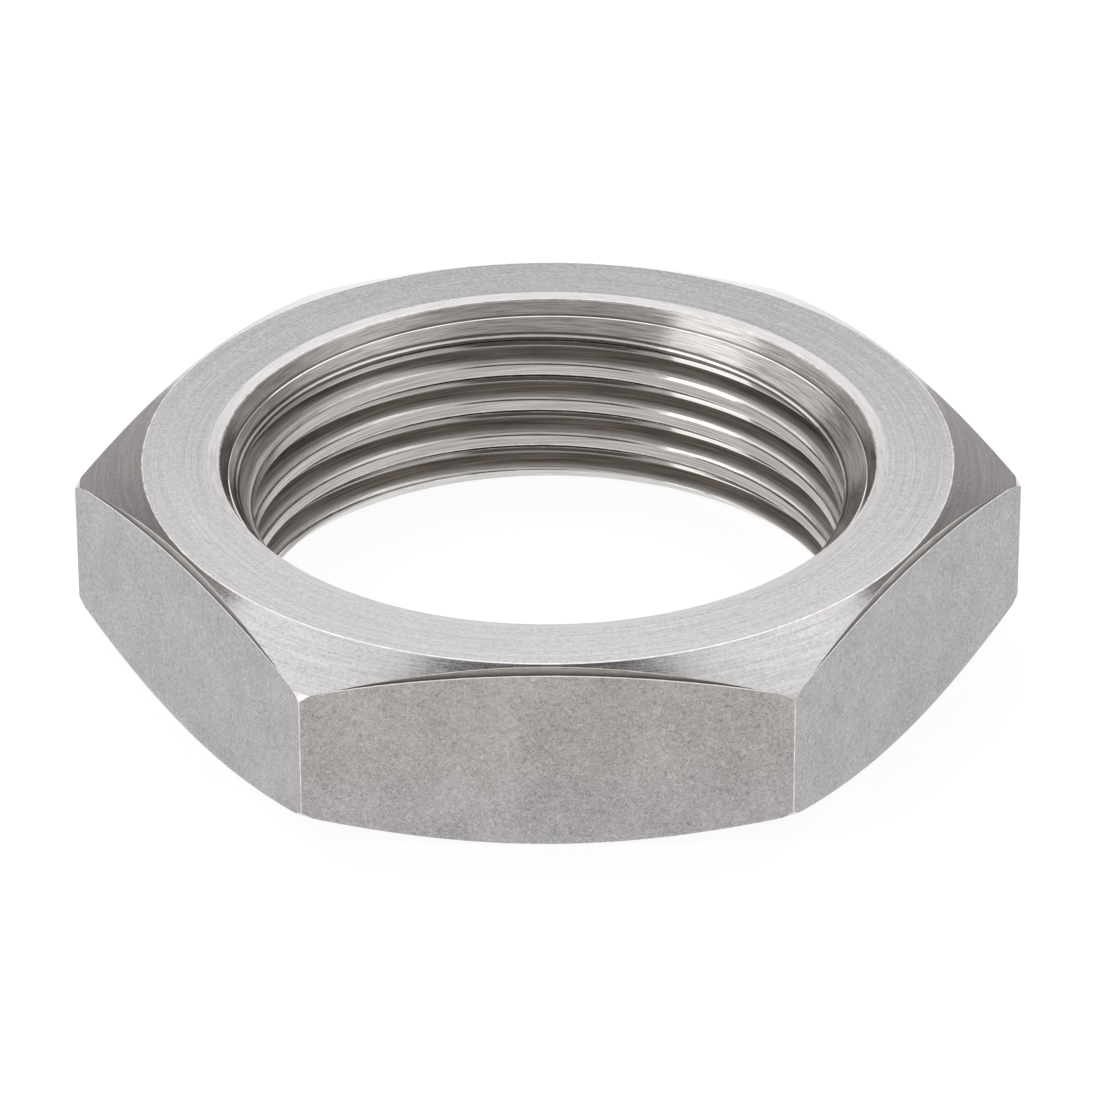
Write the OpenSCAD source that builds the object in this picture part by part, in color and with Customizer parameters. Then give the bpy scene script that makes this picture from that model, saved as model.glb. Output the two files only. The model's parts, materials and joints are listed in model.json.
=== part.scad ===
// Hex lock nut, turned from hexagon bar: a thin nut with both ends chamfered.
// It stands on its lower face, with the thread's axis on Z.
// Two flats face -Y and +Y, and two corners lie on the X axis.

/* [Hexagon] */
// Distance across the flats, 1 5/8 inch
across_flats = 41.275; // [39:0.125:60]
// Height of the nut between its two faces
nut_height = 10.2; // [8:0.1:30]
// How much the upright hexagon corners are blunted, measured on the radius
corner_blunting = 0.05; // [0.04:0.01:0.4]

/* [Corner chamfers] */
// How far the round edge of each face lies inside the flats
face_inset = 0.27; // [0.2:0.01:0.6]
// Angle of the chamfer to the face
chamfer_angle = 27; // [20:1:30]
// Width of the steeper break at each corner's tip, measured on the radius
tip_break_width = 0.22; // [0.1:0.01:0.4]
// Angle of that break to the face
tip_break_angle = 52; // [40:1:65]

/* [Broken edges of the flats] */
// Height of the broken edge at the middle of a flat, below the sharp edge that it replaces
edge_break_height = 0.33; // [0.15:0.01:0.4]
// Angle of the broken edge to the flat
edge_break_angle = 13; // [10:1:25]
// Share of the half flat that the broken edge covers before it fades out
edge_break_reach = 0.92; // [0.8:0.01:0.95]

/* [Thread] */
// Thread diameter over the roots, 1 1/4 inch
thread_major_d = 31.75; // [30.5:0.05:32.2]
// Thread diameter over the crests
thread_minor_d = 29.72; // [29.3:0.02:30]
// Turns to the inch
turns_per_inch = 12; // [10:1:16]
// Angle between the two flanks
thread_angle = 60; // [55:1:60]
// Share of the pitch that is flat at the root
root_flat_share = 0.125; // [0.1:0.005:0.2]
// Angle round the axis at which the middle of the groove meets the lower face
thread_start_angle = 184; // [0:1:359]

/* [Bore ends] */
// Outer diameter of the shallow broken edge round the mouth
mouth_break_d = 34.2; // [33.8:0.1:36]
// Depth of that broken edge
mouth_break_depth = 0.1; // [0.05:0.01:0.3]
// Diameter of the mouth, where the upper countersink starts
mouth_d = 33; // [32.6:0.1:33.4]
// Depth of the upper, steep countersink
upper_sink_depth = 0.75; // [0.4:0.05:1]
// Included angle of the upper countersink
upper_sink_angle = 60; // [40:5:70]
// Included angle of the lower countersink, which runs into the thread
lower_sink_angle = 90; // [80:5:120]
// Diameter of the countersink at the lower face
foot_sink_d = 31.3; // [31:0.1:33.5]
// Included angle of the countersink at the lower face
foot_sink_angle = 90; // [80:5:120]

/* [Hidden] */
$fn = 96;

INCH = 25.4;
FLATS = 6;
CLEAR = 1;                                   // how far a cutter runs past what it cuts

// The hexagon and the cone that chamfers its corners
flat_r = across_flats / 2;
half_side = flat_r * tan(180 / FLATS);
corner_r = flat_r / cos(180 / FLATS) - corner_blunting;
face_r = flat_r - face_inset;
tip_r = corner_r - tip_break_width;
tip_drop = (tip_r - face_r) * tan(chamfer_angle);
chamfer_drop = tip_drop + tip_break_width * tan(tip_break_angle);

// The arc that ends a broken edge on its flat, from its top at the middle to where it fades out
break_end = edge_break_reach * half_side;
arc_top_drop = face_inset * tan(chamfer_angle) + edge_break_height;
arc_end_drop = (norm([flat_r, break_end]) - face_r) * tan(chamfer_angle);
arc_sag = arc_end_drop - arc_top_drop;
arc_r = (break_end * break_end + arc_sag * arc_sag) / (2 * arc_sag);

// The thread
pitch = INCH / turns_per_inch;
major_r = thread_major_d / 2;
minor_r = thread_minor_d / 2;
flank_slope = tan(thread_angle / 2);         // how much one flank moves along the axis for each unit of radius
GROOVE_OVERLAP = 0.12;                       // how far the groove's cutter reaches into the bore
THREAD_STEPS = 48;                           // straight steps in one turn of the groove
SPARE_TURNS = 2;                             // turns of the groove beyond the nut, for both ends together

// Heights and radii where the bore changes its slope
mouth_z = nut_height - mouth_break_depth;
ledge_z = mouth_z - upper_sink_depth;
ledge_r = mouth_d / 2 - upper_sink_depth * tan(upper_sink_angle / 2);
thread_top_z = ledge_z - (ledge_r - minor_r) / tan(lower_sink_angle / 2);
foot_r = foot_sink_d / 2;
foot_slope = tan(foot_sink_angle / 2);
foot_z = (foot_r - minor_r) / foot_slope;

module hexagon_bar() {
    cylinder(h = nut_height, r = flat_r / cos(180 / FLATS), $fn = FLATS);
}

// What the chamfering tool leaves: a disc with two slopes at the edge of each face.
module turned_blank() {
    rotate_extrude()
        polygon([
            [0, 0], [face_r, 0], [tip_r, tip_drop], [corner_r, chamfer_drop],
            [corner_r, nut_height - chamfer_drop], [tip_r, nut_height - tip_drop], [face_r, nut_height],
            [0, nut_height],
        ]);
}

// The sliver taken off between one flat, facing +X, and the upper chamfer.
// A wide cone about the flat's own normal stays below it, so its lower side is a shallow arc.
module edge_break_cutter() {
    spread = 1 / tan(edge_break_angle);      // growth of the cone's radius for each unit inwards
    difference() {
        translate([flat_r - CLEAR, -half_side, nut_height - chamfer_drop])
            cube([2 * CLEAR, 2 * half_side, chamfer_drop + CLEAR]);
        translate([flat_r - 2 * CLEAR, 0, nut_height - arc_top_drop - arc_r])
            rotate([0, 90, 0])
                cylinder(h = 4 * CLEAR, r1 = arc_r + 2 * CLEAR * spread, r2 = arc_r - 2 * CLEAR * spread);
    }
}

module edge_breaks() {
    for (side = [0 : FLATS - 1])
        rotate([0, 0, (side + 0.5) * 360 / FLATS])
            edge_break_cutter();
}

// The bore and its countersinks, drawn as the metal that is taken out.
module bore() {
    rotate_extrude()
        polygon([
            [0, -CLEAR], [foot_r + CLEAR * foot_slope, -CLEAR], [minor_r, foot_z],
            [minor_r, thread_top_z], [ledge_r, ledge_z], [mouth_d / 2, mouth_z],
            [mouth_break_d / 2, nut_height], [mouth_break_d / 2, nut_height + CLEAR], [0, nut_height + CLEAR],
        ]);
}

// One helical groove, right-handed, with straight flanks and a flat root, drawn as the metal taken out.
module thread_groove() {
    inner_r = minor_r - GROOVE_OVERLAP;
    root_half = root_flat_share * pitch / 2;
    inner_half = root_half + (major_r - inner_r) * flank_slope;
    section = [[inner_r, -inner_half], [major_r, -root_half], [major_r, root_half], [inner_r, inner_half]];
    sides = len(section);
    rings = (ceil(nut_height / pitch) + SPARE_TURNS) * THREAD_STEPS;
    points = [
        for (ring = [0 : rings], corner = section)
            let (turns = ring / THREAD_STEPS, angle = turns * 360 + thread_start_angle)
                [corner[0] * cos(angle), corner[0] * sin(angle), corner[1] + (turns - SPARE_TURNS / 2) * pitch]
    ];
    walls = [
        for (ring = [0 : rings - 1], side = [0 : sides - 1])
            let (a = ring * sides + side, b = ring * sides + (side + 1) % sides)
                each [[a, b, b + sides], [a, b + sides, a + sides]]
    ];
    ends = [
        [for (side = [sides - 1 : -1 : 0]) side],
        [for (side = [0 : sides - 1]) rings * sides + side],
    ];
    polyhedron(points, concat(walls, ends), convexity = 10);
}

module lock_nut() {
    color([0.74, 0.73, 0.73])
        difference() {
            intersection() {
                hexagon_bar();
                turned_blank();
            }
            edge_breaks();
            translate([0, 0, nut_height])
                mirror([0, 0, 1])
                    edge_breaks();
            bore();
            thread_groove();
        }
}

lock_nut();
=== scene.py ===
"""Hex lock nut, turned from hexagon bar in stainless steel: its finished surfaces, studio light and camera.

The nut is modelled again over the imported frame, at a finer scale than a machine drawing gives. It has the
small rounds along its machined edges, the filleted root of its thread and the worn lips of its crests.
"""

import json
from math import atan2, ceil, cos, hypot, pi, radians, sin, tan, tau

import bpy
from mathutils import Matrix, Vector


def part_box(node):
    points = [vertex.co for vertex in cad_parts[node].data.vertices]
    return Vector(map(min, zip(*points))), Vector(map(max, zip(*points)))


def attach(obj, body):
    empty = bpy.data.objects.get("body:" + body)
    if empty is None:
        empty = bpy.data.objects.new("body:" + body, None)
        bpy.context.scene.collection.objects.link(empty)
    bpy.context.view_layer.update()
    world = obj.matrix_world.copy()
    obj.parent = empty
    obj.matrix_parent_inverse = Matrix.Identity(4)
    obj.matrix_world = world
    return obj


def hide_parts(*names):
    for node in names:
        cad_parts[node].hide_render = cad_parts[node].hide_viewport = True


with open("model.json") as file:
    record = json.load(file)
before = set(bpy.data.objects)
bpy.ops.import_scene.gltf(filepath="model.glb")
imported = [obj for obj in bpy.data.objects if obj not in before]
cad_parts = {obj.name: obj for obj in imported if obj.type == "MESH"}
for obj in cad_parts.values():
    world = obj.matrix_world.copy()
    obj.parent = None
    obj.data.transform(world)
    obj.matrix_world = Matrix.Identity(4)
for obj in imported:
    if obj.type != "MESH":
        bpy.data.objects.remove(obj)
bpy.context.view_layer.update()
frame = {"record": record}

MM = 0.001
INCH = 25.4

# Sizes that the frame gives, in millimetres
box_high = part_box("lock_nut")[1] / MM
height = box_high.z
flat_r = box_high.y
corner_r = box_high.x
thread_mount = next(m for m in frame["record"]["mounts"] if m["name"] == "thread")
crest_r = thread_mount["dims"]["r_mm"]

# Corner chamfers, and the broken edges between them and the flats
FLATS = 6
FACE_INSET = 0.27
CHAMFER_ANGLE = radians(27)
TIP_BREAK_WIDTH = 0.22
TIP_BREAK_ANGLE = radians(52)
EDGE_BREAK_HEIGHT = 0.43
EDGE_BREAK_ANGLE = radians(13)
EDGE_BREAK_REACH = 0.92

# Ends of the bore
MOUTH_BREAK_R = 17.1
MOUTH_BREAK_DEPTH = 0.1
MOUTH_R = 16.5
UPPER_SINK_DEPTH = 0.75
UPPER_SINK_HALF_ANGLE = radians(30)
LOWER_SINK_HALF_ANGLE = radians(45)
FOOT_R = 15.65

# Thread, 1 1/4 inch with 12 turns to the inch, right-handed
PITCH = INCH / 12
ROOT_R = INCH * 1.25 / 2
FLANK_ANGLE = radians(30)
ROOT_FLAT = PITCH / 8
THREAD_START = radians(184)

# Small rounds, as the length that each takes off the two surfaces that it joins
UPRIGHT_EDGE_ROUND = 0.04
FACE_EDGE_ROUND = 0.045
MOUTH_RIM_ROUND = 0.07
CREST_ROUND = 0.07
LIP_ROUND = 0.08
ROOT_ROUND = 0.05

# A narrow strip beside each round, so that the shading of the large surface next to it stays flat
STRIP = 0.02

# The step between the two upper countersinks, and the painted shadow line above it
LEDGE_WIDTH = 0.055
LEDGE_ANGLE = radians(22)
LEDGE_SHADE = 0.1

# The worn upper edge of each crest, and the broad fillet between the root and the lower flank
LIP_LENGTH = 0.16
LIP_ANGLE = radians(24)
FILLET_LENGTH = 0.25
FILLET_ANGLE = radians(26)

# Fine lines along an edge, which draw_lines puts on: painted highlights and painted shadow lines. A stop is
# the distance from the edge in mm, the colour and how much it covers. All stops lie within the lines' reach,
# and noise moves them by their raggedness.
LINE_REACH = 0.6
LINE_RAGGEDNESS = 0.05

# The burr above the groove, where the groove cuts the lower countersink, in painted lines: a dark band at
# the groove's edge, then a painted highlight, then a painted shadow line
BURR_LINES = [
    (0, "#6B6561", 1.0),
    (0.13, "#6B6561", 1.0),
    (0.16, "#F8F7F5", 1.0),
    (0.26, "#F8F7F5", 1.0),
    (0.29, "#8A8682", 1.0),
    (0.35, "#6E6A67", 1.0),
    (0.38, "#242220", 0.75),
    (0.44, "#242220", 0.75),
    (0.48, "#242220", 0.0),
]

# The painted highlight along the top of a broken edge, under the chamfer
BREAK_TOP_LINE = [(0, "#E4E2E0", 1.0), (0.02, "#E4E2E0", 1.0), (0.05, "#A8A5A2", 0.0)]

# The painted highlight and the painted shadow line at the foot of a broken edge, along its arc
BREAK_FOOT_LINES = [
    (0, "#F0EEEC", 1.0),
    (0.03, "#F0EEEC", 1.0),
    (0.06, "#45423F", 1.0),
    (0.12, "#45423F", 0.9),
    (0.34, "#45423F", 0.0),
]

# The painted shadow line at the upper edge of the root
ROOT_LINE = [(0, "#2E2B29", 1.0), (0.07, "#2E2B29", 1.0), (0.12, "#2E2B29", 0.0)]

# The lighter, rougher zone that the threading tool tore on the flanks, by its distance beyond the crests.
# Its roughness is real, and its lighter colour is partly painted light near the groove's mouth
TORN_FADES = 0.44
TORN_ENDS = 0.58
TORN_RAGGEDNESS = 0.5
TORN_COLOUR = "#D6D3D0"
TORN_ROUGHNESS = 0.5
FLANK_ROUGHNESS = 0.28

# Fineness of the mesh: steps in a turn, in a broken edge's cone and in a small round
STEPS = 180
ARC_STEPS = 1080
ROUND_STEPS = 3
MERGE = 1e-7

# How far a cutting tool runs past what it cuts, and the groove's turns beyond the nut, both ends together
CLEAR = 1.0
SPARE_TURNS = 2

# Edges below this angle are smooth, apart from some that smooth_shading makes sharp, between these finishes
SMOOTH_BELOW = radians(22)
THREAD_CUTS = {"flank", "root", "rubbed_highlight"}
SINK_CUTS = {"burr_painted_light", "recess_shade", "countersunk"}

face_r = flat_r - FACE_INSET
half_side = flat_r * tan(pi / FLATS)
tip_r = corner_r - TIP_BREAK_WIDTH
tip_drop = (tip_r - face_r) * tan(CHAMFER_ANGLE)
blank_r = corner_r + CLEAR
blank_drop = tip_drop + (blank_r - tip_r) * tan(TIP_BREAK_ANGLE)
mouth_z = height - MOUTH_BREAK_DEPTH
ledge_z = mouth_z - UPPER_SINK_DEPTH
ledge_r = MOUTH_R - UPPER_SINK_DEPTH * tan(UPPER_SINK_HALF_ANGLE)
thread_top_z = ledge_z - (ledge_r - crest_r) / tan(LOWER_SINK_HALF_ANGLE)

# The countersink at the foot has sides at 45 degrees
foot_z = FOOT_R - crest_r

# Half the groove's width at the crests, and what it would be if its flanks ran on to the axis
groove_half = ROOT_FLAT / 2 + (ROOT_R - crest_r) * tan(FLANK_ANGLE)
groove_reach = ROOT_FLAT / 2 + ROOT_R * tan(FLANK_ANGLE)


def edge_break_arc():
    """The radius of the arc that ends a broken edge on its flat, and its centre's depth below the face."""
    reach = EDGE_BREAK_REACH * half_side
    top_drop = FACE_INSET * tan(CHAMFER_ANGLE) + EDGE_BREAK_HEIGHT
    sag = (hypot(flat_r, reach) - face_r) * tan(CHAMFER_ANGLE) - top_drop
    arc_r = (reach**2 + sag**2) / (2 * sag)
    return arc_r, top_drop + arc_r


# Materials. Sizes of marks and grains are in mm, and what is finer than the picture shows is drawn coarser.

# Most of a noise texture's values lie between these
NOISE_RANGE = (0.3, 0.7)

# How much of a grained surface's pattern is turning marks, or soft clouds on the drawn flats
FACED_MARKS = 0.45
CHAMFERED_MARKS = 0.5
DRAWN_CLOUDS = 0.2


def srgb(code):
    """A hex colour as it is seen, turned to the linear values that the shader wants."""
    parts = [int(code[i : i + 2], 16) / 255 for i in (1, 3, 5)]
    linear = [p / 12.92 if p <= 0.04045 else ((p + 0.055) / 1.055) ** 2.4 for p in parts]
    return (*linear, 1.0)


def add_node(tree, kind, settings=None, links=None):
    """Adds a node. Settings holds its own properties and input values, links what its inputs take from."""
    node = tree.nodes.new(kind)
    for key, value in (settings or {}).items():
        if isinstance(key, str) and hasattr(node, key):
            setattr(node, key, value)
        else:
            node.inputs[key].default_value = value
    for key, source in (links or {}).items():
        tree.links.new(source, node.inputs[key])
    return node


def steel(name, colour, roughness):
    """Stainless steel: a metal whose colour and roughness the surface's own marks then vary."""
    material = bpy.data.materials.new(name)
    material.use_nodes = True
    shader = material.node_tree.nodes["Principled BSDF"]
    shader.inputs["Base Color"].default_value = srgb(colour)
    shader.inputs["Metallic"].default_value = 1.0
    shader.inputs["Roughness"].default_value = roughness
    return material


def about_axis(tree):
    """The place of each point, its parts, and its radius and direction from the thread's axis."""
    place = add_node(tree, "ShaderNodeTexCoord").outputs["Object"]
    parts = add_node(tree, "ShaderNodeSeparateXYZ", links={0: place})
    flat = add_node(tree, "ShaderNodeVectorMath", {"operation": "MULTIPLY", 1: (1, 1, 0)}, {0: place})
    radius = add_node(tree, "ShaderNodeVectorMath", {"operation": "LENGTH"}, {0: flat.outputs[0]})
    around = add_node(tree, "ShaderNodeVectorMath", {"operation": "NORMALIZE"}, {0: flat.outputs[0]})
    return place, parts, radius.outputs["Value"], around.outputs[0]


def turning_marks(tree, length, spacing):
    """Noise drawn out round the thread's axis, as a tool leaves it: marks of that length and spacing."""
    place, _, radius, around = about_axis(tree)
    across = 1 / (spacing * MM)
    wound = add_node(tree, "ShaderNodeVectorMath",
                     {"operation": "SCALE", "Scale": MOUTH_R / length}, {0: around})
    axial = add_node(tree, "ShaderNodeVectorMath",
                     {"operation": "MULTIPLY", 1: (0, 0, across)}, {0: place})
    spot = add_node(tree, "ShaderNodeVectorMath",
                    {"operation": "ADD"}, {0: wound.outputs[0], 1: axial.outputs[0]})
    outward = add_node(tree, "ShaderNodeMath", {"operation": "MULTIPLY", 1: across}, {0: radius})
    return add_node(tree, "ShaderNodeTexNoise",
                    {"noise_dimensions": "4D", "Scale": 1.0, "Detail": 3.0},
                    {"Vector": spot.outputs[0], "W": outward.outputs[0]}).outputs[0]


def grain(tree, size, detail=2.0, wrinkle=0.0):
    """Even noise whose grains are of that size, bent into short wrinkles where wrinkle is above zero."""
    place = add_node(tree, "ShaderNodeTexCoord")
    return add_node(tree, "ShaderNodeTexNoise",
                    {"Scale": 1 / (size * MM), "Detail": detail, "Distortion": wrinkle},
                    {"Vector": place.outputs["Object"]}).outputs[0]


def above_groove(tree):
    """How far each point lies above the middle of the nearest turn of the groove, in metres."""
    _, parts, _, _ = about_axis(tree)
    angle = add_node(tree, "ShaderNodeMath", {"operation": "ARCTAN2"},
                     {0: parts.outputs["Y"], 1: parts.outputs["X"]})
    unwound = add_node(tree, "ShaderNodeMath", {"operation": "MULTIPLY_ADD", 1: -PITCH / tau * MM},
                       {0: angle.outputs[0], 2: parts.outputs["Z"]})
    shifted = add_node(tree, "ShaderNodeMath", {"operation": "ADD", 1: PITCH * THREAD_START / tau * MM},
                       {0: unwound.outputs[0]})
    half = PITCH / 2 * MM
    return add_node(tree, "ShaderNodeMath", {"operation": "WRAP", 1: half, 2: -half},
                    {0: shifted.outputs[0]}).outputs[0]


def beyond_groove(tree):
    """How far each point lies above the upper edge of the groove below it, in metres."""
    _, _, radius, _ = about_axis(tree)
    widened = add_node(tree, "ShaderNodeMath", {"operation": "MULTIPLY_ADD", 1: tan(FLANK_ANGLE)},
                       {0: radius, 2: above_groove(tree)})
    away = add_node(tree, "ShaderNodeMath", {"operation": "SUBTRACT", 1: groove_reach * MM},
                    {0: widened.outputs[0]})
    return add_node(tree, "ShaderNodeMath", {"operation": "WRAP", 1: PITCH * MM, 2: 0.0},
                    {0: away.outputs[0]}).outputs[0]


def below_chamfer(tree):
    """How far each point lies below the upper chamfer's cone, in metres."""
    _, parts, radius, _ = about_axis(tree)
    lowered = add_node(tree, "ShaderNodeMath", {"operation": "MULTIPLY_ADD", 1: tan(CHAMFER_ANGLE)},
                       {0: radius, 2: parts.outputs["Z"]})
    cone_top = height + face_r * tan(CHAMFER_ANGLE)
    return add_node(tree, "ShaderNodeMath", {"operation": "SUBTRACT", 0: cone_top * MM},
                    {1: lowered.outputs[0]}).outputs[0]


def above_break_arc(tree):
    """How far each point lies outside the arc that ends the nearest flat's broken edge, in metres."""
    _, parts, radius, _ = about_axis(tree)
    angle = add_node(tree, "ShaderNodeMath", {"operation": "ARCTAN2"},
                     {0: parts.outputs["Y"], 1: parts.outputs["X"]})
    folded = add_node(tree, "ShaderNodeMath", {"operation": "WRAP", 1: tau / FLATS, 2: 0.0},
                      {0: angle.outputs[0]})
    turned_to = add_node(tree, "ShaderNodeMath", {"operation": "SUBTRACT", 1: pi / FLATS},
                         {0: folded.outputs[0]})
    sine = add_node(tree, "ShaderNodeMath", {"operation": "SINE"}, {0: turned_to.outputs[0]})
    along = add_node(tree, "ShaderNodeMath", {"operation": "MULTIPLY"}, {0: sine.outputs[0], 1: radius})
    arc_r, centre_drop = edge_break_arc()
    lifted = add_node(tree, "ShaderNodeMath", {"operation": "SUBTRACT", 1: (height - centre_drop) * MM},
                      {0: parts.outputs["Z"]})
    spot = add_node(tree, "ShaderNodeCombineXYZ", links={0: along.outputs[0], 1: lifted.outputs[0]})
    reach = add_node(tree, "ShaderNodeVectorMath", {"operation": "LENGTH"}, {0: spot.outputs[0]})
    return add_node(tree, "ShaderNodeMath", {"operation": "SUBTRACT", 1: arc_r * MM},
                    {0: reach.outputs["Value"]}).outputs[0]


def mark_surface(material, marks, dark, light, smooth, rough, relief):
    """Lets the marks vary the colour, the roughness and, by a height in mm, the relief.

    Returns the colours, so that lines can be drawn over them.
    """
    tree = material.node_tree
    shader = tree.nodes["Principled BSDF"]
    faintest, strongest = NOISE_RANGE
    colours = add_node(tree, "ShaderNodeMix", {"data_type": "RGBA", 6: srgb(dark), 7: srgb(light)})
    share = add_node(tree, "ShaderNodeMapRange",
                     {"From Min": faintest, "From Max": strongest}, {"Value": marks})
    dulled = add_node(tree, "ShaderNodeMapRange",
                      {"From Min": faintest, "From Max": strongest, "To Min": smooth, "To Max": rough},
                      {"Value": marks})
    bump = add_node(tree, "ShaderNodeBump", {"Strength": 1.0, "Distance": relief * MM}, {"Height": marks})
    tree.links.new(share.outputs[0], colours.inputs[0])
    tree.links.new(colours.outputs[2], shader.inputs["Base Color"])
    tree.links.new(dulled.outputs[0], shader.inputs["Roughness"])
    tree.links.new(bump.outputs[0], shader.inputs["Normal"])
    return colours.outputs[2]


def draw_lines(material, colours, away, stops):
    """Draws fine, slightly ragged lines over the colours, by the distance away from an edge.

    Returns the new colours, for the lines along another edge.
    """
    tree = material.node_tree
    frayed = add_node(tree, "ShaderNodeMath", {"operation": "MULTIPLY_ADD", 1: LINE_RAGGEDNESS * MM},
                      {0: turning_marks(tree, length=0.6, spacing=0.15), 2: away})
    share = add_node(tree, "ShaderNodeMath",
                     {"operation": "DIVIDE", 1: LINE_REACH * MM}, {0: frayed.outputs[0]})
    ramp = add_node(tree, "ShaderNodeValToRGB", links={0: share.outputs[0]})
    elements = ramp.color_ramp.elements
    elements.remove(elements[1])
    for i, (spot, colour, cover) in enumerate(stops):
        element = elements.new((spot + LINE_RAGGEDNESS / 2) / LINE_REACH) if i else elements[0]
        element.color = (*srgb(colour)[:3], cover)
    mixed = add_node(tree, "ShaderNodeMix", {"data_type": "RGBA"},
                     {0: ramp.outputs["Alpha"], 6: colours, 7: ramp.outputs["Color"]})
    tree.links.new(mixed.outputs[2], tree.nodes["Principled BSDF"].inputs["Base Color"])
    return mixed.outputs[2]


def faced_steel():
    """Both faces, turned flat: a satin grain over faint marks round the axis."""
    material = steel("stainless_steel_faced", "#BBB9BB", 0.22)
    tree = material.node_tree
    both = add_node(tree, "ShaderNodeMix", {0: FACED_MARKS},
                    {2: grain(tree, size=0.13, wrinkle=1.0),
                     3: turning_marks(tree, length=9.0, spacing=0.07)})
    mark_surface(material, both.outputs[0], "#9A999B", "#C2C1C3",
                 smooth=0.16, rough=0.22, relief=0.006)
    return material


def broken_steel():
    """The shallow broken edge round the mouth of the bore: a fresher, lighter cut than the face."""
    material = steel("stainless_steel_broken_mouth", "#BEBCBD", 0.3)
    marks = turning_marks(material.node_tree, length=1.2, spacing=0.1)
    mark_surface(material, marks, "#B1AFB1", "#CBC9CA",
                 smooth=0.26, rough=0.34, relief=0.003)
    return material


def chamfered_steel():
    """The cones across the corners, turned more coarsely than the faces."""
    material = steel("stainless_steel_chamfered", "#BDBBBC", 0.12)
    tree = material.node_tree
    both = add_node(tree, "ShaderNodeMix", {0: CHAMFERED_MARKS},
                    {2: grain(tree, size=0.16, wrinkle=1.0),
                     3: turning_marks(tree, length=2.5, spacing=0.1)})
    mark_surface(material, both.outputs[0], "#9C9A9B", "#CDCBCC",
                 smooth=0.08, rough=0.15, relief=0.002)
    return material


def drawn_steel():
    """The flats of the cold-drawn bar: a fine wrinkled grain, pickled to a soft grey with faint clouds."""
    material = steel("stainless_steel_drawn_flat", "#B5B2B1", 0.38)
    tree = material.node_tree
    both = add_node(tree, "ShaderNodeMix", {0: DRAWN_CLOUDS},
                    {2: grain(tree, size=0.17, detail=4.0, wrinkle=1.5), 3: grain(tree, size=2.4)})
    mark_surface(material, both.outputs[0], "#8A8889", "#CECBCD",
                 smooth=0.32, rough=0.42, relief=0.03)
    return material


def shaved_steel():
    """The narrow broken edges over the flats: a duller cut, a painted highlight along its top, painted light
    and shade at its arched foot.
    """
    material = steel("stainless_steel_shaved_edge", "#9A9794", 0.25)
    tree = material.node_tree
    marks = turning_marks(tree, length=1.5, spacing=0.12)
    colours = mark_surface(material, marks, "#858280", "#A8A5A2",
                           smooth=0.2, rough=0.3, relief=0.002)
    colours = draw_lines(material, colours, below_chamfer(tree), BREAK_TOP_LINE)
    draw_lines(material, colours, above_break_arc(tree), BREAK_FOOT_LINES)
    return material


def countersunk_steel(name):
    """A countersink: cut by a form tool, bright, with fine marks along the cut."""
    material = steel(name, "#BCBAB8", 0.12)
    marks = turning_marks(material.node_tree, length=1.6, spacing=0.06)
    mark_surface(material, marks, "#9A9895", "#E1DFDD",
                 smooth=0.12, rough=0.24, relief=0.006)
    return material


def burred_steel():
    """The lower countersink, where the thread's groove broke through and raised a burr, drawn as painted
    highlight and shade.
    """
    material = countersunk_steel("stainless_steel_countersunk_with_burr")
    tree = material.node_tree
    shader = tree.nodes["Principled BSDF"]
    colours = shader.inputs["Base Color"].links[0].from_socket
    draw_lines(material, colours, beyond_groove(tree), BURR_LINES)
    return material


def crest_steel():
    """The crests, left as bored: smooth and light."""
    material = steel("stainless_steel_bored_crest", "#BDBAB7", 0.2)
    marks = turning_marks(material.node_tree, length=4.0, spacing=0.06)
    mark_surface(material, marks, "#9A9692", "#CCC9C6",
                 smooth=0.16, rough=0.26, relief=0.001)
    return material


def threaded_steel():
    """The groove's flanks: long drag marks of the threading tool, dark deep inside as painted shade, lighter
    where it tore near the crests.
    """
    material = steel("stainless_steel_threaded_flank", "#A8A29E", 0.3)
    tree = material.node_tree
    marks = turning_marks(tree, length=5.0, spacing=0.09)
    # The flanks' dark colours are partly painted shade deep in the groove
    colours = mark_surface(material, marks, "#706A65", "#B8B2AE",
                           smooth=FLANK_ROUGHNESS, rough=FLANK_ROUGHNESS, relief=0.004)
    _, _, radius, _ = about_axis(tree)
    frayed = add_node(tree, "ShaderNodeMath", {"operation": "MULTIPLY_ADD", 1: TORN_RAGGEDNESS * MM},
                      {0: marks, 2: radius})
    torn = add_node(tree, "ShaderNodeMapRange",
                    {"From Min": (crest_r + TORN_ENDS) * MM, "From Max": (crest_r + TORN_FADES) * MM},
                    {"Value": frayed.outputs[0]})
    # Near the crests the colour is lighter, partly painted light; the roughness is real
    lighter = add_node(tree, "ShaderNodeMix", {"data_type": "RGBA", 7: srgb(TORN_COLOUR)},
                       {0: torn.outputs[0], 6: colours})
    rougher = add_node(tree, "ShaderNodeMix", {2: FLANK_ROUGHNESS, 3: TORN_ROUGHNESS}, {0: torn.outputs[0]})
    shader = tree.nodes["Principled BSDF"]
    tree.links.new(lighter.outputs[2], shader.inputs["Base Color"])
    tree.links.new(rougher.outputs[0], shader.inputs["Roughness"])
    return material


def rolled_steel():
    """The groove's root, pressed smooth by the threading tool's nose, with a painted shadow line along its
    top.
    """
    material = steel("stainless_steel_rolled_root", "#D6D2CE", 0.12)
    tree = material.node_tree
    marks = turning_marks(tree, length=6.0, spacing=0.08)
    colours = mark_surface(material, marks, "#C6C2BE", "#E2DFDC",
                           smooth=0.08, rough=0.14, relief=0.001)
    under = add_node(tree, "ShaderNodeMath", {"operation": "SUBTRACT", 0: ROOT_FLAT / 2 * MM},
                     {1: above_groove(tree)})
    draw_lines(material, colours, under.outputs[0], ROOT_LINE)
    return material


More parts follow.
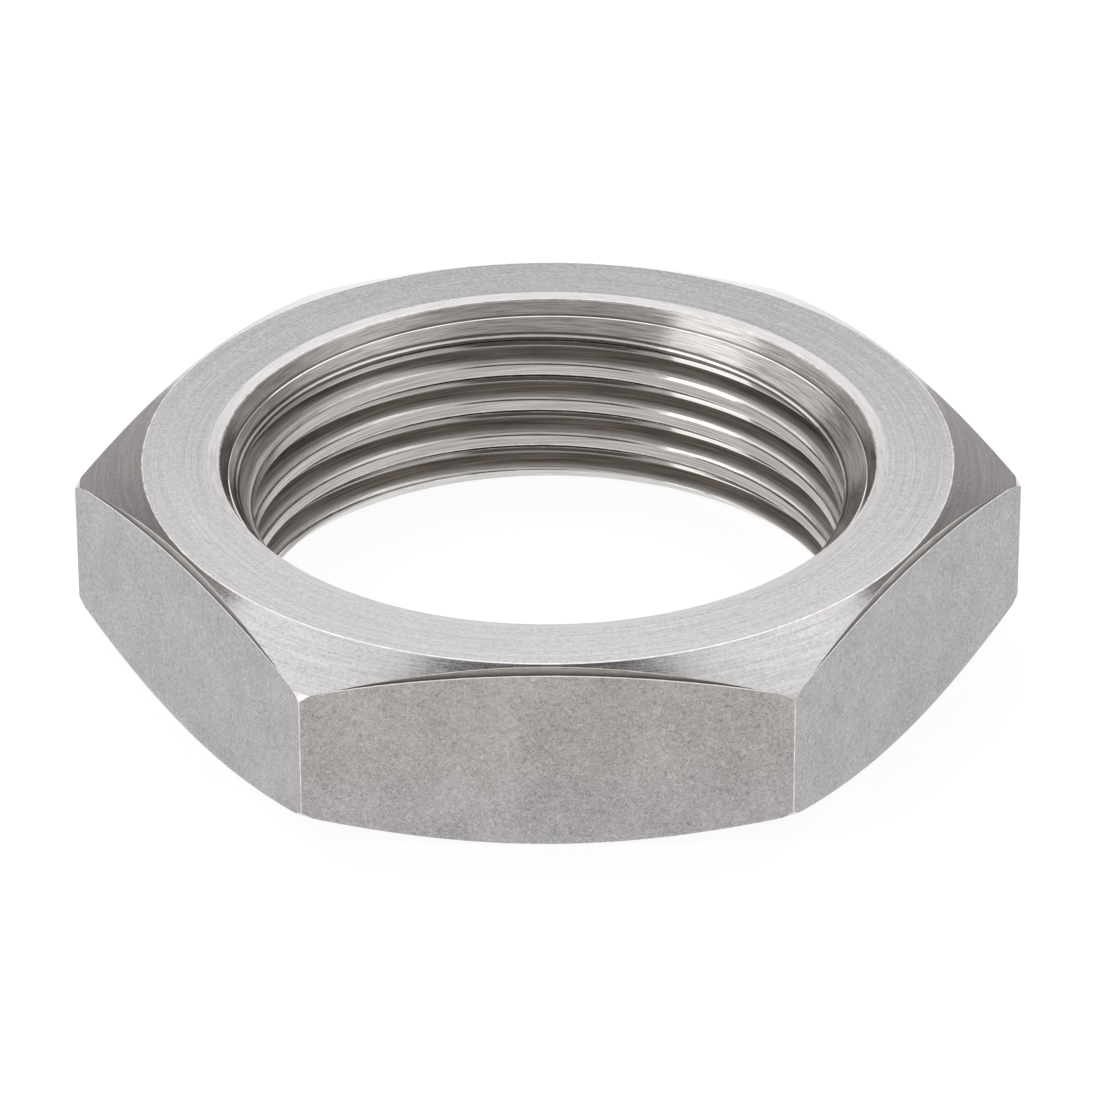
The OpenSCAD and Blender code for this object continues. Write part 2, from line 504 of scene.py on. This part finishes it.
def recessed_steel():
    """The foot of the upper countersink: a fine dark line in the tool's corner, which is painted shade."""
    material = steel("stainless_steel_dark_corner", "#8C8986", 0.3)
    marks = turning_marks(material.node_tree, length=3.0, spacing=0.08)
    mark_surface(material, marks, "#7A7774", "#9A9794",
                 smooth=0.25, rough=0.35, relief=0.001)
    return material


def burnished_steel():
    """The small rounds on the edges, worn bright and slightly ragged: partly wear, partly a painted
    highlight.
    """
    material = steel("stainless_steel_burnished_edge", "#DAD8D6", 0.28)
    marks = grain(material.node_tree, size=0.5)
    mark_surface(material, marks, "#C6C4C2", "#EEECEA",
                 smooth=0.22, rough=0.34, relief=0.003)
    return material


def rubbed_steel():
    """The worn upper edge of each crest and the little ledge in the mouth, worn almost white: partly wear,
    partly a painted highlight.
    """
    material = steel("stainless_steel_rubbed_lip", "#EAE8E6", 0.12)
    marks = turning_marks(material.node_tree, length=1.0, spacing=0.1)
    mark_surface(material, marks, "#D6D4D2", "#FAF9F8",
                 smooth=0.08, rough=0.16, relief=0.002)
    return material


FINISHES = {
    "faced": faced_steel(),
    "broken": broken_steel(),
    "chamfered": chamfered_steel(),
    "drawn": drawn_steel(),
    "shaved": shaved_steel(),
    "countersunk": countersunk_steel("stainless_steel_countersunk"),
    "burr_painted_light": burred_steel(),
    "recess_shade": recessed_steel(),
    "crest": crest_steel(),
    "flank": threaded_steel(),
    "root": rolled_steel(),
    "burnished_highlight": burnished_steel(),
    "rubbed_highlight": rubbed_steel(),
}
SLOTS = list(FINISHES)


# Shapes

def deselect():
    """Frees the selection, because an operator acts on all that is selected."""
    bpy.ops.object.select_all(action="DESELECT")


def give_finish(piece, finish):
    """Every piece carries all the finishes in one order, so a cut keeps the finish of its tool."""
    for material in FINISHES.values():
        piece.data.materials.append(material)
    for face in piece.data.polygons:
        face.material_index = SLOTS.index(finish)


def rounded(outline):
    """An outline's points with its small rounds put in, and the finish of the stretch after each point.

    An entry of the outline is a radius, a height, the round at that corner and the finish of the stretch
    that follows. The short stretches of a round take the burnished_highlight finish, partly a painted
    highlight, or are like the root or the worn lip that they join. Where there is room, a narrow strip lies
    beside each end of a round.
    """
    points = []
    finishes = []

    def put(point, finish):
        if points and (point - points[-1]).length < STRIP / 100:
            finishes[-1] = finish
        else:
            points.append(point)
            finishes.append(finish)

    for i, (r, z, size, finish) in enumerate(outline):
        last_r, last_z, last_size, last_finish = outline[i - 1]
        next_r, next_z, next_size, _ = outline[(i + 1) % len(outline)]
        here = Vector((r, z))
        back = Vector((last_r, last_z)) - here
        ahead = Vector((next_r, next_z)) - here
        if not size:
            put(here, finish)
            continue
        start = here + back.normalized() * size
        end = here + ahead.normalized() * size
        joined = (finish, last_finish)
        in_round = next((kind for kind in ("root", "rubbed_highlight") if kind in joined), "burnished_highlight")
        if back.length - size - last_size > 3 * STRIP:
            put(start + back.normalized() * STRIP, last_finish)
        for step in range(ROUND_STEPS + 1):
            t = step / ROUND_STEPS
            point = (1 - t) ** 2 * start + 2 * t * (1 - t) * here + t * t * end
            put(point, finish if step == ROUND_STEPS else in_round)
        if ahead.length - size - next_size > 3 * STRIP:
            put(end + ahead.normalized() * STRIP, finish)
    return points, finishes


def draw_outline(name, points):
    """A new piece with one ring of edges in the XZ plane, drawn from one vertex and left in edit mode."""
    deselect()
    bpy.ops.mesh.primitive_plane_add(size=MM, location=(points[0].x * MM, 0, points[0].y * MM))
    bpy.ops.object.transform_apply(location=True)
    piece = bpy.context.object
    piece.name = name
    give_finish(piece, "drawn")
    bpy.ops.object.mode_set(mode="EDIT")
    bpy.ops.mesh.select_mode(type="VERT")
    bpy.ops.mesh.select_all(action="SELECT")
    bpy.ops.mesh.merge(type="CENTER")
    for here, there in zip(points, points[1:] + points[:1]):
        step = ((there.x - here.x) * MM, 0, (there.y - here.y) * MM)
        bpy.ops.mesh.extrude_vertices_move(TRANSFORM_OT_translate={"value": step})
    bpy.ops.mesh.select_all(action="SELECT")
    bpy.ops.mesh.remove_doubles(threshold=MERGE)
    return piece


def close_mesh():
    """Merges what coincides, closes open ends and turns the faces outwards, in edit mode."""
    bpy.ops.mesh.select_all(action="SELECT")
    bpy.ops.mesh.remove_doubles(threshold=MERGE)
    bpy.ops.mesh.fill_holes(sides=0)
    bpy.ops.mesh.select_all(action="SELECT")
    bpy.ops.mesh.normals_make_consistent(inside=False)
    bpy.ops.object.mode_set(mode="OBJECT")


def off_stretch(point, here, there):
    """How far a point lies off the stretch between two others."""
    along = there - here
    share = (point - here).dot(along) / along.length_squared
    return (point - here - min(max(share, 0), 1) * along).length


def finish_by_outline(piece, points, finishes, lead=0.0):
    """Gives each face the finish of the stretch that it was swept from. Lead unwinds a helix."""
    stretches = list(zip(points, points[1:] + points[:1], finishes))
    for face in piece.data.polygons:
        x, y, z = face.center / MM
        if lead:
            z = (z - lead * (atan2(y, x) - THREAD_START) / tau + lead / 2) % lead - lead / 2
        place = Vector((hypot(x, y), z))
        nearest = min(stretches, key=lambda s: off_stretch(place, s[0], s[1]))
        face.material_index = SLOTS.index(nearest[2])


def turned(name, outline):
    """A solid of revolution about the thread's axis."""
    points, finishes = rounded(outline)
    piece = draw_outline(name, points)
    bpy.ops.mesh.spin(steps=STEPS, angle=tau, center=(0, 0, 0), axis=(0, 0, 1))
    close_mesh()
    finish_by_outline(piece, points, finishes)
    return piece


def carve(target, tool, operation):
    """Cuts the target by the tool, or down to it, and removes the tool."""
    deselect()
    bpy.context.view_layer.objects.active = target
    cut = target.modifiers.new("cut", "BOOLEAN")
    cut.object = tool
    cut.operation = operation
    cut.solver = "MANIFOLD"
    bpy.ops.object.modifier_apply(modifier=cut.name)
    bpy.data.objects.remove(tool)


def hexagon_bar():
    """The bar, corners on X and longer than the nut, with its upright edges slightly rounded."""
    deselect()
    bpy.ops.mesh.primitive_cylinder_add(
        vertices=FLATS,
        radius=flat_r / cos(pi / FLATS) * MM,
        depth=(height + 2 * CLEAR) * MM,
        location=(0, 0, height / 2 * MM),
        rotation=(0, 0, pi / 2),
    )
    bpy.ops.object.transform_apply(location=True, rotation=True)
    bar = bpy.context.object
    bar.name = "lock_nut_finished"
    give_finish(bar, "drawn")
    bpy.ops.object.mode_set(mode="EDIT")
    bpy.ops.mesh.select_mode(type="EDGE")
    bpy.ops.mesh.select_all(action="DESELECT")
    bpy.ops.object.mode_set(mode="OBJECT")
    for edge in bar.data.edges:
        low, high = (bar.data.vertices[i].co.z for i in edge.vertices)
        edge.select = abs(high - low) > height / 2 * MM
    bpy.ops.object.mode_set(mode="EDIT")
    bpy.ops.mesh.bevel(
        offset=UPRIGHT_EDGE_ROUND * MM,
        segments=ROUND_STEPS,
        affect="EDGES",
        material=SLOTS.index("burnished_highlight"),
    )
    bpy.ops.object.mode_set(mode="OBJECT")
    return bar


def turned_blank():
    """What the chamfering tool leaves: a disc with two slopes at the edge of each face."""
    return turned("turned_blank", [
        (0, 0, 0, "faced"),
        (face_r, 0, FACE_EDGE_ROUND, "chamfered"),
        (tip_r, tip_drop, 0, "burnished_highlight"),
        (blank_r, blank_drop, 0, "drawn"),
        (blank_r, height - blank_drop, 0, "burnished_highlight"),
        (tip_r, height - tip_drop, 0, "chamfered"),
        (face_r, height, FACE_EDGE_ROUND, "faced"),
        (0, height, 0, "faced"),
    ])


def edge_break_cone(side, upper):
    """A wide cone about one flat's normal. Outside it lies the sliver between that flat and a chamfer."""
    arc_r, centre_drop = edge_break_arc()
    spread = 1 / tan(EDGE_BREAK_ANGLE)
    depth = 3 * flat_r
    middle = flat_r + CLEAR - depth / 2
    turn = (side + 0.5) * tau / FLATS
    level = height - centre_drop if upper else centre_drop
    deselect()
    bpy.ops.mesh.primitive_cone_add(
        vertices=ARC_STEPS,
        radius1=(arc_r + (depth - CLEAR) * spread) * MM,
        radius2=(arc_r - CLEAR * spread) * MM,
        depth=depth * MM,
        location=(middle * cos(turn) * MM, middle * sin(turn) * MM, level * MM),
        rotation=(0, pi / 2, turn),
    )
    bpy.ops.object.transform_apply(location=True, rotation=True)
    cone = bpy.context.object
    give_finish(cone, "shaved" if upper else "drawn")
    return cone


def bore():
    """The bore and its countersinks, as the metal that is taken out."""
    ledge_in = ledge_r - LEDGE_WIDTH
    shade_r = ledge_r + LEDGE_SHADE * tan(UPPER_SINK_HALF_ANGLE)
    return turned("bore", [
        (0, -CLEAR, 0, "faced"),
        (FOOT_R + CLEAR, -CLEAR, 0, "countersunk"),
        (crest_r, foot_z, CREST_ROUND, "crest"),
        (crest_r, thread_top_z, CREST_ROUND, "burr_painted_light"),
        (ledge_in, ledge_z - LEDGE_WIDTH * tan(LEDGE_ANGLE), 0, "rubbed_highlight"),
        (ledge_r, ledge_z, 0, "recess_shade"),
        (shade_r, ledge_z + LEDGE_SHADE, 0, "countersunk"),
        (MOUTH_R, mouth_z, MOUTH_RIM_ROUND, "broken"),
        (MOUTH_BREAK_R, height, 0, "faced"),
        (MOUTH_BREAK_R + CLEAR, height, 0, "faced"),
        (MOUTH_BREAK_R + CLEAR, height + CLEAR, 0, "faced"),
        (0, height + CLEAR, 0, "faced"),
    ])


def thread_groove():
    """One helical groove with a filleted root and worn crest edges, as the metal that is taken out.

    Its cutter runs past both faces and reaches a little way into the bore.
    """
    lip_r = crest_r + LIP_LENGTH * sin(LIP_ANGLE)
    lip_z = -groove_reach + lip_r * tan(FLANK_ANGLE)
    lip_end = lip_z - LIP_LENGTH * cos(LIP_ANGLE)
    fillet_r = ROOT_R - FILLET_LENGTH * sin(FILLET_ANGLE)
    fillet_z = -groove_reach + fillet_r * tan(FLANK_ANGLE)
    fillet_end = fillet_z + FILLET_LENGTH * cos(FILLET_ANGLE)
    crest_edge = 2 * CREST_ROUND - lip_end
    inner_r = crest_r - 2 * CREST_ROUND
    points, finishes = rounded([
        (inner_r, -crest_edge - CREST_ROUND, 0, "crest"),
        (crest_r, -crest_edge, 0, "crest"),
        (crest_r, lip_end, 0, "rubbed_highlight"),
        (lip_r, lip_z, LIP_ROUND, "flank"),
        (fillet_r, fillet_z, ROOT_ROUND, "root"),
        (ROOT_R, fillet_end, ROOT_ROUND, "root"),
        (ROOT_R, ROOT_FLAT / 2, ROOT_ROUND, "flank"),
        (crest_r, groove_half, CREST_ROUND, "crest"),
        (crest_r, crest_edge, 0, "crest"),
        (inner_r, crest_edge + CREST_ROUND, 0, "crest"),
    ])
    groove = draw_outline("thread_groove", points)
    bpy.ops.transform.translate(value=(0, 0, -SPARE_TURNS / 2 * PITCH * MM))
    bpy.ops.object.mode_set(mode="OBJECT")
    groove.rotation_euler.z = THREAD_START
    bpy.ops.object.transform_apply(rotation=True)
    helix = groove.modifiers.new("helix", "SCREW")
    helix.screw_offset = PITCH * MM
    helix.iterations = ceil(height / PITCH) + SPARE_TURNS
    helix.steps = STEPS
    helix.render_steps = STEPS
    bpy.ops.object.modifier_apply(modifier=helix.name)
    bpy.ops.object.mode_set(mode="EDIT")
    close_mesh()
    finish_by_outline(groove, points, finishes, lead=PITCH)
    return groove


def smooth_shading(piece):
    """Smooth over the small rounds, sharp between two cut surfaces, with the large faces kept flat.

    The groove meets a countersink, and the face its broken mouth, at a slight angle, but sharply.
    """
    deselect()
    piece.select_set(True)
    bpy.context.view_layer.objects.active = piece
    bpy.ops.object.shade_smooth_by_angle(angle=SMOOTH_BELOW)
    met_at = {}
    for face in piece.data.polygons:
        for key in face.edge_keys:
            met_at.setdefault(key, set()).add(SLOTS[face.material_index])
    for edge in piece.data.edges:
        if met_at[edge.key] & THREAD_CUTS and met_at[edge.key] & SINK_CUTS:
            edge.use_edge_sharp = True
        ends = [piece.data.vertices[i].co / MM for i in edge.vertices]
        if all(abs(hypot(end.x, end.y) - MOUTH_BREAK_R) < STRIP and end.z > mouth_z for end in ends):
            edge.use_edge_sharp = True
    weighted = piece.modifiers.new("weighted_normals", "WEIGHTED_NORMAL")
    weighted.keep_sharp = True
    bpy.ops.object.modifier_apply(modifier=weighted.name)


def finished_nut():
    """The nut, cut from the bar in the order of its making: outside first, then bore and thread."""
    nut = hexagon_bar()
    carve(nut, turned_blank(), "INTERSECT")
    for side in range(FLATS):
        for upper in (True, False):
            carve(nut, edge_break_cone(side, upper), "INTERSECT")
    carve(nut, bore(), "DIFFERENCE")
    carve(nut, thread_groove(), "DIFFERENCE")
    smooth_shading(nut)
    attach(nut, "root")
    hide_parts("lock_nut")
    return nut


# Floor, light and camera

CAMERA_DISTANCE = 373.4 * MM
CAMERA_ELEVATION = radians(30.297)
CAMERA_TURN = radians(0.23)
CAMERA_ROLL = radians(0.222)
CAMERA_LENS = 242.46
CAMERA_AIM = Vector((-0.007, 0, 4.711)) * MM
CAMERA_SENSOR = 36

# The floor's paper, how far its paint is lifted to white, and the paper in front that the front flat
# mirrors, dimmer and warmer as painted shade
FLOOR_SIZE = 20.0
FLOOR_LIFT = 0.88
PAPER = "#858585"
PAPER_MIRRORED = "#FFFFFF"
FRONT_PAPER_MIRRORED = "#F9F5F0"
FRONT_PAPER_STARTS = -19 * MM
FRONT_PAPER_FULL = -28 * MM

# The walls' light from the front of the room, 0, to its back, 1, and their tint
WALL_LIGHT = [(0.0, 0.55), (1.0, 0.6), (0.3, 0.5), (0.55, 0.36), (0.84, 0.36), (0.93, 0.58)]
WALL_TINT = (1.0, 0.97, 0.95)

# Right overhead the room is dimmer. Heights and depths are the parts of a direction of length 1.
OVERHEAD_LIGHT = 0.45
OVERHEAD_STARTS = 0.85

# The soft window at the right
WINDOW_DIRECTION = (0.776, -0.137, 0.616)
WINDOW_REACH = radians(32)
WINDOW_LIGHT = 0.45

# The unlit side of the room, low in front
DARK_SIDE_LIGHT = 0.15
DARK_SIDE_STARTS = -0.75
DARK_SIDE_FULL = -0.84
DARK_SIDE_TOP = 0.48
DARK_SIDE_TOP_FULL = 0.4

# Ways for a lamp to face
DOWN = (0, 0, -1)
FORWARD = (0, -1, 0)
RIGHT = (1, 0, 0)


def white_floor():
    """A matt white sweep, whose paint is lifted for the camera and in reflections and keeps the shadow, with
    painted shade in front.
    """
    deselect()
    bpy.ops.mesh.primitive_plane_add(size=FLOOR_SIZE)
    floor = bpy.context.object
    floor.name = "floor"
    paint = bpy.data.materials.new("matt_white_paper")
    paint.use_nodes = True
    tree = paint.node_tree
    tree.nodes.clear()
    path = add_node(tree, "ShaderNodeLightPath")
    seen = add_node(tree, "ShaderNodeMath", {"operation": "MAXIMUM"},
                    {0: path.outputs["Is Camera Ray"], 1: path.outputs["Is Glossy Ray"]})
    through = add_node(tree, "ShaderNodeMath", {"operation": "MAXIMUM"},
                       {0: seen.outputs[0], 1: path.outputs["Is Transmission Ray"]})
    place = add_node(tree, "ShaderNodeTexCoord")
    parts = add_node(tree, "ShaderNodeSeparateXYZ", links={0: place.outputs["Object"]})
    # Painted shade on the paper in front, seen only in reflections
    front = add_node(tree, "ShaderNodeMapRange",
                     {"From Min": FRONT_PAPER_STARTS, "From Max": FRONT_PAPER_FULL},
                     {"Value": parts.outputs["Y"]})
    mirrored = add_node(tree, "ShaderNodeMath", {"operation": "MULTIPLY"},
                        {0: front.outputs[0], 1: path.outputs["Is Glossy Ray"]})
    warm = add_node(tree, "ShaderNodeMix",
                    {"data_type": "RGBA", 6: srgb(PAPER_MIRRORED), 7: srgb(FRONT_PAPER_MIRRORED)},
                    {0: mirrored.outputs[0]})
    lift = add_node(tree, "ShaderNodeMath",
                    {"operation": "MULTIPLY", 1: FLOOR_LIFT}, {0: through.outputs[0]})
    glow = add_node(tree, "ShaderNodeEmission",
                    links={"Color": warm.outputs[2], "Strength": lift.outputs[0]})
    matt = add_node(tree, "ShaderNodeBsdfDiffuse", {"Color": srgb(PAPER)})
    both = add_node(tree, "ShaderNodeAddShader", links={0: matt.outputs[0], 1: glow.outputs[0]})
    add_node(tree, "ShaderNodeOutputMaterial", links={"Surface": both.outputs[0]})
    floor.data.materials.append(paint)


def studio_walls():
    """The room round the table, as the metal reflects it: light and slightly warm, dimmer at the back.

    It has a soft window at the right, and its unlit side lies low in front.
    """
    world = bpy.data.worlds.new("studio")
    bpy.context.scene.world = world
    world.use_nodes = True
    tree = world.node_tree
    tree.nodes.clear()
    place = add_node(tree, "ShaderNodeTexCoord")
    parts = add_node(tree, "ShaderNodeSeparateXYZ", links={0: place.outputs["Generated"]})
    backwards = add_node(tree, "ShaderNodeMapRange", {"From Min": -1.0, "From Max": 1.0},
                         {"Value": parts.outputs["Y"]})
    ramp = add_node(tree, "ShaderNodeValToRGB", links={0: backwards.outputs[0]})
    elements = ramp.color_ramp.elements
    at_start = len(elements)
    for i, (spot, light) in enumerate(WALL_LIGHT):
        element = elements[i] if i < at_start else elements.new(spot)
        element.position = spot
        element.color = (*(light * part for part in WALL_TINT), 1)
    overhead = add_node(tree, "ShaderNodeMapRange",
                        {"interpolation_type": "SMOOTHSTEP", "From Min": OVERHEAD_STARTS, "From Max": 1.0,
                         "To Min": 1.0, "To Max": OVERHEAD_LIGHT}, {"Value": parts.outputs["Z"]})
    towards = add_node(tree, "ShaderNodeVectorMath", {"operation": "DOT_PRODUCT", 1: WINDOW_DIRECTION},
                       {0: place.outputs["Generated"]})
    window = add_node(tree, "ShaderNodeMapRange",
                      {"interpolation_type": "SMOOTHSTEP", "From Min": cos(WINDOW_REACH), "From Max": 1.0,
                       "To Max": WINDOW_LIGHT}, {"Value": towards.outputs["Value"]})
    frontal = add_node(tree, "ShaderNodeMapRange",
                       {"interpolation_type": "SMOOTHSTEP", "From Min": DARK_SIDE_STARTS,
                        "From Max": DARK_SIDE_FULL},
                       {"Value": parts.outputs["Y"]})
    low = add_node(tree, "ShaderNodeMapRange",
                   {"interpolation_type": "SMOOTHSTEP", "From Min": DARK_SIDE_TOP,
                    "From Max": DARK_SIDE_TOP_FULL},
                   {"Value": parts.outputs["Z"]})
    opening = add_node(tree, "ShaderNodeMath", {"operation": "MULTIPLY"},
                       {0: frontal.outputs[0], 1: low.outputs[0]})
    shaded = add_node(tree, "ShaderNodeMix", {2: 1.0, 3: DARK_SIDE_LIGHT}, {0: opening.outputs[0]})
    level = add_node(tree, "ShaderNodeMath", {"operation": "MULTIPLY"},
                     {0: shaded.outputs[0], 1: overhead.outputs[0]})
    dimmed = add_node(tree, "ShaderNodeVectorMath", {"operation": "SCALE"},
                      {0: ramp.outputs["Color"], "Scale": level.outputs[0]})
    lit = add_node(tree, "ShaderNodeVectorMath", {"operation": "ADD"},
                   {0: dimmed.outputs[0], 1: window.outputs[0]})
    back = add_node(tree, "ShaderNodeBackground", links={"Color": lit.outputs[0]})
    add_node(tree, "ShaderNodeOutputWorld", links={"Surface": back.outputs[0]})


def softbox(name, place, facing, width, tall, brightness, lean=0):
    """A soft lamp, sizes and place in metres, turned by lean degrees within its own plane."""
    deselect()
    bpy.ops.object.light_add(type="AREA", location=place)
    lamp = bpy.context.object
    lamp.name = name
    turn = (-Vector(facing)).to_track_quat("Z", "Y").to_matrix()
    lamp.rotation_euler = (turn @ Matrix.Rotation(radians(lean), 3, "Z")).to_euler()
    lamp.data.shape = "RECTANGLE"
    lamp.data.size = width
    lamp.data.size_y = tall
    lamp.data.energy = brightness * pi * width * tall
    lamp.visible_camera = False


def camera():
    """The photograph's view: camera on the front side, a little turned and rolled, with a long lens."""
    place = Matrix.Rotation(CAMERA_TURN, 4, "Z") @ Matrix.Rotation(pi / 2 - CAMERA_ELEVATION, 4, "X")
    place = place @ Matrix.Rotation(-CAMERA_ROLL, 4, "Z")
    back = place.to_3x3() @ Vector((0, 0, 1))
    bpy.ops.object.camera_add()
    view = bpy.context.object
    view.matrix_world = Matrix.Translation(CAMERA_AIM + back * CAMERA_DISTANCE) @ place
    view.data.lens = CAMERA_LENS
    view.data.sensor_width = CAMERA_SENSOR
    view.data.clip_start = 0.01
    view.data.clip_end = 100
    bpy.context.scene.camera = view


finished_nut()
white_floor()
studio_walls()
softbox("overhead_softbox", (0, 0.555, 1.0), DOWN, width=1.4, tall=0.89, brightness=1.1)
softbox("back_panel", (0, 1.0, 0.8), FORWARD, width=0.62, tall=0.44, brightness=1.25)
softbox("low_back_panel", (0, 1.0, 0.22), FORWARD, width=0.62, tall=0.42, brightness=0.7)
softbox("left_softbox", (-0.624, -0.29, 0.56), RIGHT, width=0.5, tall=1.06, brightness=1.0, lean=18)
softbox("left_panel", (-0.624, 0.19, 0.5), RIGHT, width=0.52, tall=0.7, brightness=0.5, lean=18)
camera()
bpy.context.scene.view_settings.view_transform = "Standard"
